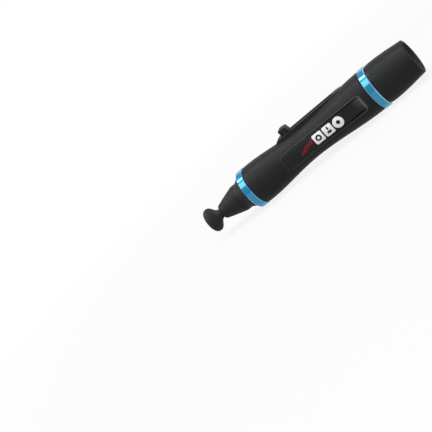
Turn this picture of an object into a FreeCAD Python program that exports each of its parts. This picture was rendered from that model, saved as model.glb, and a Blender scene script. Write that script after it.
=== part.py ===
import FreeCAD, Part
import math
import os

# Lens cleaning pen: a soft round pad on a flexible neck at one end, a retractable
# brush in an open hood at the other, and a thumb slider on a raised rail between them.
#
# Everything is drawn first in the pen's own stations: a station is the distance in mm
# from the face of the pad, along the pen's axis. The axis is +X, towards the brush,
# and the slider is on top (+Z). place() then moves a finished piece so that the
# origin is at the middle of the pen's length, under the lowest point of its rings.

# ---- whole pen ----
LENGTH = 98.2
REAR_RING_R = 8.35
TRAVEL = 20.0                # how far the slider pushes the brush out
RUN_GAP = 0.1                # clearance round a piece that slides

# ---- barrel ----
BARREL_FRONT = 23.7
BARREL_REAR = 79.5
BORE_R = 4.85
EDGE_STEP = 0.3              # width of the shadow groove beside each ring
EDGE_DEPTH = 0.4             # depth of that groove
SPIGOT_R = 6.4               # spigots of the nose and of the hood, in the barrel's ends
FRONT_SPIGOT_END = 28.0
REAR_SPIGOT_START = 76.8
# The waisted outline of the barrel, front to rear: (station, radius).
BARREL_OUTLINE = [
    (24.0, 8.0), (31.0, 7.8), (40.5, 6.87), (48.5, 6.38),
    (60.0, 6.83), (71.0, 7.82), (79.2, 8.14),
]

# ---- rail on top of the barrel, and the slot in it ----
RAIL_HALF = 2.5
RAIL_TOP = 8.0
RAIL_FOOT = 40.2             # where the ramp leaves the barrel
RAIL_CREST = 43.2            # where the ramp reaches the flat top
RAIL_FALL = 69.6             # where the flat top ends
RAIL_END = 72.6
RAIL_EDGE_R = 0.3
RAIL_NOSE_R = 2.2            # rounding of the rail's front, seen from above
SLOT_HALF = 1.0
SLOT_START = 44.3
SLOT_END = 68.2
SLOT_CORNER_R = 0.5

# ---- label pockets in the barrel's two sides ----
POCKET_START = 39.5
POCKET_END = 76.9
POCKET_HALF = 3.15
POCKET_CORNER_R = 1.6
POCKET_FLOOR_R = 5.85
POCKET_RAMP = 72.6           # from here the floor scoops up to the barrel's surface
LABEL_THICK = 0.25
LABEL_GAP = 0.12

# ---- rings ----
RING_BORE_R = 6.6
RING_BEVEL = 0.3
FRONT_RING_R = 8.17
FRONT_RING_START = 20.7
REAR_RING_END = 82.5

# ---- nose ----
NOSE_FRONT = 6.5
NOSE_TIP_R = 3.1
COLLAR_START = 15.1
COLLAR_END = 17.3
COLLAR_R = 5.5               # the tip's cap pushes on here
COLLAR_EDGE = 0.12           # bevel at the collar's rear edge
SHOULDER_R = 7.1
SOCKET_R = 2.7
SOCKET_START = 8.6
SOCKET_END = 19.0
NECK_R = 1.88
NECK_STEM_R = 1.4

# ---- cleaning tip ----
PIVOT = 4.75                 # middle of the flexible neck
BALL_R = 1.35
BALL_GAP = 0.05
NECK_PIN_R = 0.9
NECK_FLANGE = 5.85
HEAD_BACK = 5.35
HEAD_R = 4.95
HEAD_RIM_R = 4.6
PAD_R = 4.25
PAD_SEAT = 1.3
PAD_FRONT = 0.05
FOAM_FRONT = 0.75
PAD_RIM = 0.2                # flat edge round the pad's dish
PAD_DISH = 0.5

# ---- brush ----
SLEEVE_START = 36.0
SLEEVE_IN_R = 4.4
BULKHEAD_THICK = 2.0
CARRIER_START = 41.6
CARRIER_END = 64.0
CARRIER_R = SLEEVE_IN_R - RUN_GAP
SLIDER_STATION = 46.1
FERRULE_START = 60.5
FERRULE_END = 76.0
FERRULE_WALL = 0.3
ROOT_END = 70.0
BRISTLE_END = 96.0
BRISTLE_MOUTH_R = 3.95
BRISTLE_TIP_R = 4.5
BRISTLE_ROUND = 1.2
GUIDE_R = 5.5
GUIDE_END = 84.0

# ---- hood ----
HOOD_START = 82.5
HOOD_MOUTH_R = 5.95
HOOD_BORE_R = 5.75
HOOD_BEVEL = 0.35            # at the hood's base, beside the ring
HOOD_OUTLINE = [
    (HOOD_START + EDGE_STEP + HOOD_BEVEL, 8.0), (86.0, 8.04), (91.0, 7.72), (97.7, 6.98),
]

# ---- slider ----
STEM_HALF = SLOT_HALF - RUN_GAP
STEM_LENGTH = 3.2
STEM_FOOT = 1.6              # height of the stem's foot above the axis
STEM_CORNER_R = 0.35
STEM_PIN_R = 0.6
STEM_PIN_HEIGHT = 1.2
KNOB_FRONT = 44.1
KNOB_REAR = 48.1
KNOB_SLOPE = 0.5             # how far the knob's rear face leans in towards its top
KNOB_HALF = 1.75
KNOB_BASE = RAIL_TOP + RUN_GAP
KNOB_EDGE_TOP = 10.35        # height of the knob's crowned top at its two ends
KNOB_CROWN = 10.8            # and at its highest point
KNOB_CORNER_R = 0.7
KNOB_EDGE_R = 0.45
FLUTE_R = 0.35
FLUTE_SPACING = 0.88
FLUTE_TOP = 9.2

# ---- detent ----
LEAF_STATION = 51.0
LEAF_HALF_LENGTH = 4.0
LEAF_HALF_WIDTH = 1.0
LEAF_THICK = 0.2
LEAF_SEAT = 2.9              # distance of the leaf's ends below the axis
LEAF_CREST = 4.22            # its corners just clear the sleeve
DIMPLE_R = 0.8

X_AXIS = FreeCAD.Vector(1, 0, 0)
Y_AXIS = FreeCAD.Vector(0, 1, 0)
Z_AXIS = FreeCAD.Vector(0, 0, 1)


def at(station, y=0.0, z=0.0):
    return FreeCAD.Vector(station, y, z)


def profile_point(point):
    """A (station, radius) pair as a point in the plane that is turned about the axis."""
    return at(point[0], 0, point[1])


def line(start, end):
    return Part.LineSegment(profile_point(start), profile_point(end)).toShape()


def spline(points):
    curve = Part.BSplineCurve()
    curve.interpolate([profile_point(p) for p in points])
    return curve.toShape()


def chain(points):
    """Straight edges from each point to the next."""
    return [line(a, b) for a, b in zip(points, points[1:])]


def turned(edges):
    """Solid of revolution about the axis, from the edges of a closed half section."""
    face = Part.Face(Part.Wire(Part.__sortEdges__(edges)))
    return face.revolve(at(0), X_AXIS, 360)


def turned_polygon(points):
    return turned(chain(points + points[:1]))


def rod(start, end, radius):
    return Part.makeCylinder(radius, end - start, at(start), X_AXIS)


def tube(start, end, outer, inner):
    return rod(start, end, outer).cut(rod(start - 1, end + 1, inner))


def block(start, end, half_width, low, high):
    return Part.makeBox(end - start, 2 * half_width, high - low, at(start, -half_width, low))


def rounded_block(start, end, half_width, low, high, corner_r, edge_direction):
    """A block whose four edges along one direction are rounded."""
    solid = block(start, end, half_width, low, high)
    return solid.makeFillet(corner_r, edges_along(solid, edge_direction))


def edges_along(solid, direction):
    found = []
    for edge in solid.Edges:
        run = edge.Vertexes[-1].Point.sub(edge.Vertexes[0].Point)
        if run.Length > 0 and abs(abs(run.normalize().dot(direction)) - 1) < 1e-6:
            found.append(edge)
    return found


def solid_of(shape):
    """The single solid of a finished piece, with its seams merged."""
    shape = shape.removeSplitter()
    if len(shape.Solids) != 1:
        raise ValueError("a piece must be one solid, found %d" % len(shape.Solids))
    return shape.Solids[0]


# ---- barrel and what is fixed to it ----

def rail_solid():
    """The straight-topped rail for the slider, with a short rounded ramp at its front."""
    ramp = spline([(RAIL_FOOT, 6.2), (40.95, 7.2), (41.75, 7.78), (RAIL_CREST, RAIL_TOP)])
    fall = spline([(RAIL_FALL, RAIL_TOP), (70.9, 7.9), (72.0, 7.6), (RAIL_END, 7.2)])
    edges = [ramp, fall]
    edges += chain([(RAIL_CREST, RAIL_TOP), (RAIL_FALL, RAIL_TOP)])
    edges += chain([(RAIL_END, 7.2), (RAIL_END, 5.5), (RAIL_FOOT, 5.5), (RAIL_FOOT, 6.2)])
    face = Part.Face(Part.Wire(Part.__sortEdges__(edges)))
    face.translate(at(0, -RAIL_HALF))
    rail = face.extrude(at(0, 2 * RAIL_HALF))
    plan = block(RAIL_FOOT, RAIL_END + 1, RAIL_HALF, 5, 9)
    front_corners = [e for e in edges_along(plan, Z_AXIS) if e.CenterOfMass.x < RAIL_CREST]
    rail = rail.common(plan.makeFillet(RAIL_NOSE_R, front_corners))
    flank_tops = [e for e in rail.Edges
                  if abs(abs(e.CenterOfMass.y) - RAIL_HALF) < 1e-6
                  and e.CenterOfMass.z > 7 and e.BoundBox.XLength > 0.3]
    return rail.makeFillet(RAIL_EDGE_R, flank_tops)


def slot_solid():
    return rounded_block(SLOT_START, SLOT_END, SLOT_HALF, 2.0, 10.0, SLOT_CORNER_R, Z_AXIS)


def pocket_outline(side, inset=0.0):
    """A rounded bar that stands out of one side of the barrel, the pocket's outline."""
    start = POCKET_START + inset
    half = POCKET_HALF - inset
    depth = 6.0
    bar = Part.makeBox(POCKET_END - inset - start, depth, 2 * half, at(start, 0, -half))
    bar.translate(at(0, 3.5 if side > 0 else -3.5 - depth))
    return bar.makeFillet(POCKET_CORNER_R - inset, edges_along(bar, Y_AXIS))


def pocket_tool(side):
    """What the pocket removes: all of its outline outside the floor and its scoop."""
    scoop = Part.Arc(at(POCKET_RAMP, 0, POCKET_FLOOR_R), at(74.9, 0, 6.75),
                     at(POCKET_END - 0.1, 0, 8.3))
    edges = [scoop.toShape()]
    edges += chain([
        (POCKET_END - 0.1, 8.3), (POCKET_END + 2, 8.3), (POCKET_END + 2, 0),
        (POCKET_START - 2, 0), (POCKET_START - 2, POCKET_FLOOR_R),
        (POCKET_RAMP, POCKET_FLOOR_R),
    ])
    return pocket_outline(side).cut(turned(edges))


def barrel_shell():
    first, last = BARREL_OUTLINE[0], BARREL_OUTLINE[-1]
    front_step = first[1] - EDGE_DEPTH
    rear_step = last[1] - EDGE_DEPTH
    edges = [spline(BARREL_OUTLINE)]
    edges += chain([last, (last[0], rear_step), (BARREL_REAR, rear_step), (BARREL_REAR, 0),
                    (BARREL_FRONT, 0), (BARREL_FRONT, front_step), (first[0], front_step),
                    first])
    body = turned(edges).fuse(rail_solid())
    body = body.cut(rod(BARREL_FRONT - 1, BARREL_REAR + 1, BORE_R))
    body = body.cut(rod(BARREL_FRONT - 1, FRONT_SPIGOT_END, SPIGOT_R))
    body = body.cut(rod(REAR_SPIGOT_START, BARREL_REAR + 1, SPIGOT_R))
    body = body.cut(slot_solid())
    for side in (-1, 1):
        body = body.cut(pocket_tool(side))
    return solid_of(body)


def label(side):
    """A thin curved printed plate that lies on the floor of its pocket."""
    plate = tube(POCKET_START, POCKET_RAMP, POCKET_FLOOR_R + LABEL_THICK, POCKET_FLOOR_R)
    outline = pocket_outline(side, LABEL_GAP)
    return solid_of(plate.common(outline))


def ring(start, end, radius):
    bevel = RING_BEVEL
    return turned_polygon([
        (start, RING_BORE_R), (start, radius - bevel), (start + bevel, radius),
        (end - bevel, radius), (end, radius - bevel), (end, RING_BORE_R),
    ])


# ---- nose and cleaning tip ----

def nose_cone():
    """Cone, push-on collar and shoulder, with a hub for the ring and a spigot behind."""
    hub_start = FRONT_RING_START
    step_start = hub_start - EDGE_STEP
    nose_tip = (NOSE_FRONT, NOSE_TIP_R - 0.4)
    rounding = Part.Arc(profile_point(nose_tip), at(NOSE_FRONT + 0.13, 0, NOSE_TIP_R - 0.12),
                        at(NOSE_FRONT + 0.45, 0, NOSE_TIP_R)).toShape()
    cone = spline([(NOSE_FRONT + 0.45, NOSE_TIP_R), (9.8, 4.0), (12.8, 4.86),
                   (COLLAR_START, COLLAR_R)])
    edges = [rounding, cone]
    edges += chain([
        (COLLAR_START, COLLAR_R), (COLLAR_END - COLLAR_EDGE, COLLAR_R),
        (COLLAR_END, COLLAR_R - COLLAR_EDGE),
        (step_start, SHOULDER_R), (step_start, SHOULDER_R - EDGE_DEPTH),
        (hub_start, SHOULDER_R - EDGE_DEPTH), (hub_start, RING_BORE_R),
        (BARREL_FRONT, RING_BORE_R), (BARREL_FRONT, SPIGOT_R),
        (FRONT_SPIGOT_END, SPIGOT_R), (FRONT_SPIGOT_END, 4.6), (SOCKET_END, 4.6),
        (SOCKET_END, SOCKET_R), (SOCKET_START, SOCKET_R), (SOCKET_START, NECK_R),
        (NOSE_FRONT, NECK_R), nose_tip,
    ])
    return solid_of(turned(edges))


def tip_socket():
    """Bush that grips the rubber neck's stem inside the nose."""
    return tube(SOCKET_START, SOCKET_END, SOCKET_R, NECK_STEM_R)


def tip_neck():
    """Rubber neck: a stem in the socket, a flange in the nose and a round free end."""
    ball = Part.makeSphere(BALL_R, at(PIVOT))
    pin = rod(PIVOT, NECK_FLANGE + 0.2, NECK_PIN_R)
    flange = rod(NECK_FLANGE, SOCKET_START, NECK_R)
    stem = rod(SOCKET_START - 0.1, SOCKET_END - 1.0, NECK_STEM_R)
    return solid_of(ball.fuse([pin, flange, stem]))


def tip_head():
    """Flared rubber head, hollow behind for the neck's round end."""
    back = spline([(HEAD_BACK, 1.9), (4.4, 2.27), (3.5, 3.1), (2.5, 4.4), (1.75, HEAD_R)])
    rim = Part.Arc(at(1.75, 0, HEAD_R), at(0.8, 0, 4.98), at(0.15, 0, HEAD_RIM_R))
    edges = [back, rim.toShape()]
    edges += chain([(0.15, HEAD_RIM_R), (0, HEAD_RIM_R - 0.15), (0, PAD_R), (PAD_SEAT, PAD_R), (PAD_SEAT, 0),
                    (HEAD_BACK, 0), (HEAD_BACK, 1.9)])
    head = turned(edges)
    return solid_of(head.cut(Part.makeSphere(BALL_R + BALL_GAP, at(PIVOT))))


def pad_foam():
    return rod(FOAM_FRONT, PAD_SEAT, PAD_R)


def tip_pad():
    """Round pad with a dished face that takes the curve of a lens."""
    dish_r = PAD_R - PAD_RIM
    ball_r = (dish_r ** 2 + PAD_DISH ** 2) / (2 * PAD_DISH)
    ball = Part.makeSphere(ball_r, at(PAD_FRONT + PAD_DISH - ball_r))
    return solid_of(rod(PAD_FRONT, FOAM_FRONT, PAD_R).cut(ball))


# ---- inside the barrel ----

def bulkhead_plug():
    """Closes the brush's chamber off from the nose."""
    return rod(SLEEVE_START - BULKHEAD_THICK, SLEEVE_START, BORE_R)


def slide_sleeve():
    """Slotted liner that the carrier runs in, with a dimple at each end of the travel."""
    sleeve = tube(SLEEVE_START, REAR_SPIGOT_START, BORE_R, SLEEVE_IN_R)
    sleeve = sleeve.cut(slot_solid())
    for station in (LEAF_STATION, LEAF_STATION + TRAVEL):
        sleeve = sleeve.cut(Part.makeCylinder(DIMPLE_R, 2, at(station, 0, -6), Z_AXIS))
    return solid_of(sleeve)


def guide_bush():
    """Bearing that steadies the ferrule as the brush comes out."""
    return tube(REAR_SPIGOT_START, GUIDE_END, GUIDE_R, SLEEVE_IN_R)


def brush_hood():
    """Open-mouthed hood that shields the brush, with a hub for the rear ring."""
    first, last = HOOD_OUTLINE[0], HOOD_OUTLINE[-1]
    step_end = HOOD_START + EDGE_STEP
    step_r = first[1] - HOOD_BEVEL - EDGE_DEPTH / 2
    lip = Part.Arc(profile_point(last), at(LENGTH - 0.12, 0, 6.82), at(LENGTH, 0, 6.55))
    lip_inside = (LENGTH, HOOD_MOUTH_R + 0.15)
    edges = [spline(HOOD_OUTLINE), lip.toShape()]
    edges += chain([
        (LENGTH, 6.55), lip_inside, (LENGTH - 0.15, HOOD_MOUTH_R), (GUIDE_END, HOOD_BORE_R),
        (GUIDE_END, GUIDE_R), (REAR_SPIGOT_START, GUIDE_R), (REAR_SPIGOT_START, SPIGOT_R),
        (BARREL_REAR, SPIGOT_R), (BARREL_REAR, RING_BORE_R), (HOOD_START, RING_BORE_R),
        (HOOD_START, step_r), (step_end, step_r), (step_end, first[1] - HOOD_BEVEL), first,
    ])
    return solid_of(turned(edges))


# ---- what moves with the slider ----

def brush_carrier():
    """Round shuttle with a seat for the slider's stem and a channel for the detent leaf."""
    body = rod(CARRIER_START, FERRULE_START, CARRIER_R)
    body = body.fuse(rod(FERRULE_START, CARRIER_END, CARRIER_R - FERRULE_WALL))
    half = STEM_LENGTH / 2
    seat = block(SLIDER_STATION - half, SLIDER_STATION + half, STEM_HALF, STEM_FOOT, 6)
    channel = block(LEAF_STATION - LEAF_HALF_LENGTH - 0.1, LEAF_STATION + LEAF_HALF_LENGTH + 0.1,
                    LEAF_HALF_WIDTH + 0.1, -6, -LEAF_SEAT)
    return solid_of(body.cut(seat).cut(channel))


def stem_pin():
    """The round pin that holds the knob on its stem."""
    return Part.makeCylinder(STEM_PIN_R, STEM_PIN_HEIGHT, at(SLIDER_STATION, 0, KNOB_BASE), Z_AXIS)


def slider_stem():
    """Block that joins the knob to the carrier through the slot."""
    half = STEM_LENGTH / 2
    stem = rounded_block(SLIDER_STATION - half, SLIDER_STATION + half, STEM_HALF,
                         STEM_FOOT, KNOB_BASE, STEM_CORNER_R, Z_AXIS)
    return solid_of(stem.fuse(stem_pin()))


def rounded_outline(foot_a, side_a, top_a, crown, top_b, side_b, foot_b):
    """Face with two upright sides, a crowned top and a round at each top corner."""
    arc_a = Part.Arc(profile_point(side_a), corner_point(side_a, top_a), profile_point(top_a))
    arc_b = Part.Arc(profile_point(top_b), corner_point(side_b, top_b), profile_point(side_b))
    middle = at((top_a[0] + top_b[0]) / 2, 0, crown)
    arch = Part.Arc(profile_point(top_a), middle, profile_point(top_b))
    edges = [arc_a.toShape(), arch.toShape(), arc_b.toShape()]
    edges += [line(foot_a, side_a), line(side_b, foot_b), line(foot_b, foot_a)]
    return Part.Face(Part.Wire(Part.__sortEdges__(edges)))


def corner_point(side, top):
    """The middle of the quarter round between the end of a side and the start of the top."""
    reach = math.sqrt(0.5)
    return at(top[0] + (side[0] - top[0]) * reach, 0, side[1] + (top[1] - side[1]) * reach)


def knob_flutes():
    """Round-topped flutes low on the knob's sides and shallow grooves across its top."""
    tools = []
    for offset in (-FLUTE_SPACING, FLUTE_SPACING):
        station = SLIDER_STATION + offset
        for side in (-1, 1):
            foot = at(station, side * (KNOB_HALF + 0.12), KNOB_BASE)
            tools.append(Part.makeCylinder(FLUTE_R, FLUTE_TOP - KNOB_BASE, foot, Z_AXIS))
            tools.append(Part.makeSphere(FLUTE_R, at(station, foot.y, FLUTE_TOP)))
    for offset in (-FLUTE_SPACING, 0, FLUTE_SPACING):
        start = at(SLIDER_STATION + offset, -KNOB_HALF - 1, KNOB_CROWN + 0.16)
        tools.append(Part.makeCylinder(FLUTE_R, 2 * KNOB_HALF + 2, start, Y_AXIS))
    return tools


def thumb_slider():
    """Knob with a crowned top, a steep front, a leaning rear and flutes for the thumb."""
    low = KNOB_EDGE_TOP - KNOB_EDGE_R
    top_front = (KNOB_FRONT + KNOB_EDGE_R, KNOB_EDGE_TOP)
    top_rear = (KNOB_REAR - KNOB_SLOPE - KNOB_EDGE_R, KNOB_EDGE_TOP)
    side = rounded_outline((KNOB_FRONT, KNOB_BASE), (KNOB_FRONT, low), top_front, KNOB_CROWN,
                           top_rear, (KNOB_REAR - KNOB_SLOPE, low), (KNOB_REAR, KNOB_BASE))
    side.translate(at(0, -KNOB_HALF))
    knob = side.extrude(at(0, 2 * KNOB_HALF))
    inner = KNOB_HALF - KNOB_EDGE_R
    across = rounded_outline((-KNOB_HALF, KNOB_BASE), (-KNOB_HALF, low + 0.2),
                             (-inner, KNOB_EDGE_TOP + 0.2), KNOB_CROWN,
                             (inner, KNOB_EDGE_TOP + 0.2), (KNOB_HALF, low + 0.2),
                             (KNOB_HALF, KNOB_BASE))
    across.rotate(at(0), Z_AXIS, 90)
    across.translate(at(KNOB_FRONT - 1))
    knob = knob.common(across.extrude(at(KNOB_REAR - KNOB_FRONT + 2)))
    plan = rounded_block(KNOB_FRONT, KNOB_REAR, KNOB_HALF, KNOB_BASE, KNOB_CROWN + 1,
                         KNOB_CORNER_R, Z_AXIS)
    knob = knob.common(plan)
    for tool in knob_flutes():
        knob = knob.cut(tool)
    return solid_of(knob.cut(stem_pin()))


def detent_leaf():
    """Bowed spring leaf; the crest of the bow drops into the sleeve's dimples."""
    crest = -LEAF_CREST
    foot = -LEAF_SEAT
    ends = [LEAF_STATION - LEAF_HALF_LENGTH, LEAF_STATION + LEAF_HALF_LENGTH]
    outer = Part.Arc(at(ends[0], 0, foot - LEAF_THICK), at(LEAF_STATION, 0, crest),
                     at(ends[1], 0, foot - LEAF_THICK)).toShape()
    inner = Part.Arc(at(ends[0], 0, foot), at(LEAF_STATION, 0, crest + LEAF_THICK),
                     at(ends[1], 0, foot)).toShape()
    sides = [line((end, foot), (end, foot - LEAF_THICK)) for end in ends]
    face = Part.Face(Part.Wire(Part.__sortEdges__([outer, inner] + sides)))
    face.translate(at(0, -LEAF_HALF_WIDTH))
    return face.extrude(at(0, 2 * LEAF_HALF_WIDTH))


def brush_ferrule():
    """Thin metal tube that holds the hair, with a crimp line near its mouth."""
    inner = CARRIER_R - FERRULE_WALL
    crimp = FERRULE_END - 3.0
    return turned_polygon([
        (FERRULE_START, inner), (FERRULE_START, CARRIER_R), (crimp - 0.4, CARRIER_R),
        (crimp, CARRIER_R - 0.12), (crimp + 0.4, CARRIER_R), (FERRULE_END, CARRIER_R),
        (FERRULE_END, inner),
    ])


def bristle_root():
    """Set resin that binds the roots of the hair."""
    return rod(CARRIER_END, ROOT_END, CARRIER_R - FERRULE_WALL)


def brush_bristles():
    """The whole tuft as one solid that widens a little and ends in a rounded tip."""
    inner = CARRIER_R - FERRULE_WALL
    round_start = BRISTLE_END - BRISTLE_ROUND
    flat_r = BRISTLE_TIP_R - BRISTLE_ROUND
    flare = spline([(FERRULE_END, BRISTLE_MOUTH_R), (84.0, 4.1), (round_start, BRISTLE_TIP_R)])
    bulge = BRISTLE_ROUND * math.sqrt(0.5)
    rounding = Part.Arc(at(round_start, 0, BRISTLE_TIP_R), at(round_start + bulge, 0, flat_r + bulge),
                        at(BRISTLE_END, 0, flat_r)).toShape()
    edges = [flare, rounding]
    edges += chain([(BRISTLE_END, flat_r), (BRISTLE_END, 0), (ROOT_END, 0), (ROOT_END, inner),
                    (FERRULE_END, inner), (FERRULE_END, BRISTLE_MOUTH_R)])
    return turned(edges)


NODES = {
    "barrel_shell": barrel_shell,
    "front_label": lambda: label(-1),
    "back_label": lambda: label(1),
    "front_ring": lambda: ring(FRONT_RING_START, BARREL_FRONT, FRONT_RING_R),
    "rear_ring": lambda: ring(BARREL_REAR, REAR_RING_END, REAR_RING_R),
    "nose_cone": nose_cone,
    "tip_socket": tip_socket,
    "tip_neck": tip_neck,
    "tip_head": tip_head,
    "pad_foam": pad_foam,
    "tip_pad": tip_pad,
    "bulkhead_plug": bulkhead_plug,
    "slide_sleeve": slide_sleeve,
    "guide_bush": guide_bush,
    "brush_hood": brush_hood,
    "brush_carrier": brush_carrier,
    "slider_stem": slider_stem,
    "thumb_slider": thumb_slider,
    "detent_leaf": detent_leaf,
    "brush_ferrule": brush_ferrule,
    "bristle_root": bristle_root,
    "brush_bristles": brush_bristles,
}


def place(shape):
    """Move a piece from stations into the pen's own frame."""
    placed = shape.copy()
    placed.translate(FreeCAD.Vector(-LENGTH / 2, 0, REAR_RING_R))
    return placed


def main():
    os.makedirs("parts", exist_ok=True)
    for name, make in NODES.items():
        piece = place(make())
        if not piece.isValid():
            raise ValueError("%s is not a valid solid" % name)
        piece.exportStep("parts/%s.step" % name)
        box = piece.BoundBox
        print("%-16s %8.1f mm3  x %6.2f..%6.2f  z %5.2f..%5.2f" % (
            name, piece.Volume, box.XMin, box.XMax, box.ZMin, box.ZMax))


main()
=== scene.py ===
import math

import bmesh
import bpy
import numpy as np
from mathutils import Matrix, Vector
from mathutils.bvhtree import BVHTree


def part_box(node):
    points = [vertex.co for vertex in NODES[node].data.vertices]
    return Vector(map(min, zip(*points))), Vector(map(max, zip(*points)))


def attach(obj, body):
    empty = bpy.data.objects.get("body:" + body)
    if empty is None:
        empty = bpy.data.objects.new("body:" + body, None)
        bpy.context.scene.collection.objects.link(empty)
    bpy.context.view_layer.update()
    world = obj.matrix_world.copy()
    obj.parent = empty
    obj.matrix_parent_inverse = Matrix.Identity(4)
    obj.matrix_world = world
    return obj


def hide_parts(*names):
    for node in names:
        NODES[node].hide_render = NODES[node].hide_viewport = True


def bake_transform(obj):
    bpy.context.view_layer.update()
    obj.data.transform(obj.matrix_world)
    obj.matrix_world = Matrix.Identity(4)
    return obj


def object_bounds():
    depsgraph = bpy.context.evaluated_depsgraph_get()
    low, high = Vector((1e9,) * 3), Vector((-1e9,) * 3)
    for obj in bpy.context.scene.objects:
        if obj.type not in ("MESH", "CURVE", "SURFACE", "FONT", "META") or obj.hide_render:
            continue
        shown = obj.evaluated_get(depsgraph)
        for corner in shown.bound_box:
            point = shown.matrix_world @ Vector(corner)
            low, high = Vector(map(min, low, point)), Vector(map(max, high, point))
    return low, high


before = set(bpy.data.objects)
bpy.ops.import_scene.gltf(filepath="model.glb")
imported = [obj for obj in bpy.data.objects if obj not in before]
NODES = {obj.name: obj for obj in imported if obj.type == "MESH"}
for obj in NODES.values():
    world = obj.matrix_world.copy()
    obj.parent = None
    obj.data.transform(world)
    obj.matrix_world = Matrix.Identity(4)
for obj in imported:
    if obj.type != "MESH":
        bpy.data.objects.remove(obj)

CAD_BOX = [list(corner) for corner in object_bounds()]
SCENE = bpy.context.scene
MM = 0.001

# ---- places worked out from the frame ----
# A station is the distance in mm from the pad's face along the pen's axis, which is +X.
AXIS_Z = (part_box("rear_ring")[0].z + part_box("rear_ring")[1].z) / 2
TIP_FACE_X = Vector(CAD_BOX[0]).x


def frame_x(station):
    return TIP_FACE_X + station * MM


# ---- camera ----
# The pen slants up to the right, its hood end nearer to the camera.
FOCAL = 79.4                 # mm on a 36 mm wide sensor
TOWARDS_HOOD = 23.4          # degrees that the view is turned towards the hood end
ABOVE_LABEL = 10.9           # degrees that the view is turned up round the pen's axis
SLANT = 39.43                # degrees that the pen rises across the picture
DISTANCE = 0.3651
AIM_FROM_TIP = 0.003
AIM_ABOVE_AXIS = 0.0005


def make_camera():
    turn = math.radians(TOWARDS_HOOD)
    lift = math.radians(ABOVE_LABEL)
    slant = math.radians(SLANT)
    back = Vector((math.sin(turn), -math.cos(turn) * math.cos(lift),
                   math.cos(turn) * math.sin(lift)))
    along = Vector((1, 0, 0))
    along = (along - along.dot(back) * back).normalized()
    across = back.cross(along)
    right = math.cos(slant) * along - math.sin(slant) * across
    up = math.sin(slant) * along + math.cos(slant) * across
    aim = Vector((TIP_FACE_X + AIM_FROM_TIP, 0, AXIS_Z)) + across * AIM_ABOVE_AXIS
    data = bpy.data.cameras.new("camera")
    data.lens = FOCAL
    data.sensor_width = 36
    data.clip_start = 0.01
    data.clip_end = 50
    camera = bpy.data.objects.new("camera", data)
    turned = Matrix((right, up, back)).transposed().to_4x4()
    camera.matrix_world = Matrix.Translation(aim + back * DISTANCE) @ turned
    SCENE.collection.objects.link(camera)
    SCENE.camera = camera


make_camera()


# ---- mesh building ----

def make_piece(name, mesh, material):
    piece = bpy.data.objects.new(name, mesh)
    SCENE.collection.objects.link(piece)
    mesh.materials.append(material)
    return piece


def finish_piece(name, mesh, body, material):
    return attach(make_piece(name, mesh, material), body)


def mesh_from(name, vertices, faces, flat_faces=()):
    """A mesh in metres, smooth apart from the faces that are named flat."""
    mesh = bpy.data.meshes.new(name)
    mesh.from_pydata([tuple(map(float, v)) for v in vertices], [], faces)
    smooth = np.ones(len(mesh.polygons), dtype=bool)
    smooth[list(flat_faces)] = False
    mesh.polygons.foreach_set("use_smooth", smooth)
    mesh.update()
    return mesh


def grid_faces(rows, columns, closed_rows=False, closed_columns=True, first=0):
    """Quads between the rows of points that follow each other."""
    faces = []
    for i in range(rows if closed_rows else rows - 1):
        for j in range(columns if closed_columns else columns - 1):
            i2, j2 = (i + 1) % rows, (j + 1) % columns
            faces.append((first + i * columns + j, first + i * columns + j2,
                          first + i2 * columns + j2, first + i2 * columns + j))
    return faces


def smooth_curve(points, count):
    """Points evenly spread along a smooth curve through the given (station, radius) pairs."""
    points = np.array(points, dtype=float)
    padded = np.vstack([2 * points[0] - points[1], points, 2 * points[-1] - points[-2]])
    steps = []
    for i in range(1, len(padded) - 2):
        a, b, c, d = padded[i - 1:i + 3]
        for t in np.linspace(0, 1, 24, endpoint=False):
            steps.append(0.5 * (2 * b + (c - a) * t + (2 * a - 5 * b + 4 * c - d) * t ** 2
                                + (3 * b - a - 3 * c + d) * t ** 3))
    steps.append(padded[-2])
    steps = np.array(steps)
    length = np.concatenate([[0], np.cumsum(np.linalg.norm(np.diff(steps, axis=0), axis=1))])
    wanted = np.linspace(0, length[-1], count)
    return np.stack([np.interp(wanted, length, steps[:, k]) for k in range(2)], axis=1)


def turned(profile, segments):
    """Closed surface of revolution about the pen's axis, from one (station, radius) line."""
    angles = np.arange(segments) * 2 * math.pi / segments
    vertices = [(frame_x(s), r * MM * math.cos(a), AXIS_Z + r * MM * math.sin(a))
                for s, r in profile for a in angles]
    faces = grid_faces(len(profile), segments)
    last = (len(profile) - 1) * segments
    faces.append(tuple(reversed(range(segments))))
    faces.append(tuple(range(last, last + segments)))
    return np.array(vertices), faces


def outward(faces, vertices):
    """The same faces, all turned to face out of the closed shape."""
    mesh = bmesh.new()
    for v in vertices:
        mesh.verts.new(v)
    mesh.verts.ensure_lookup_table()
    for face in faces:
        mesh.faces.new([mesh.verts[i] for i in face])
    bmesh.ops.recalc_face_normals(mesh, faces=mesh.faces)
    turned_faces = [tuple(v.index for v in face.verts) for face in mesh.faces]
    mesh.free()
    return turned_faces


# ---- where the barrel's surface is ----
BARREL = NODES["barrel_shell"]
BARREL_TREE = BVHTree.FromPolygons([v.co[:] for v in BARREL.data.vertices],
                                   [p.vertices[:] for p in BARREL.data.polygons])
OUTSIDE = 0.02               # a ray starts this far from the axis


def barrel_radius(station):
    """Outer radius of the barrel in mm, felt from below, where nothing stands on it."""
    hit = BARREL_TREE.ray_cast(Vector((frame_x(station), 0, AXIS_Z - OUTSIDE)), Vector((0, 0, 1)))
    return (AXIS_Z - hit[0].z) / MM


def rail_height(station, y):
    """Height in mm above the axis of what is highest over one place on the rail."""
    hit = BARREL_TREE.ray_cast(Vector((frame_x(station), y * MM, AXIS_Z + OUTSIDE)),
                               Vector((0, 0, -1)))
    return (hit[0].z - AXIS_Z) / MM


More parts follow.
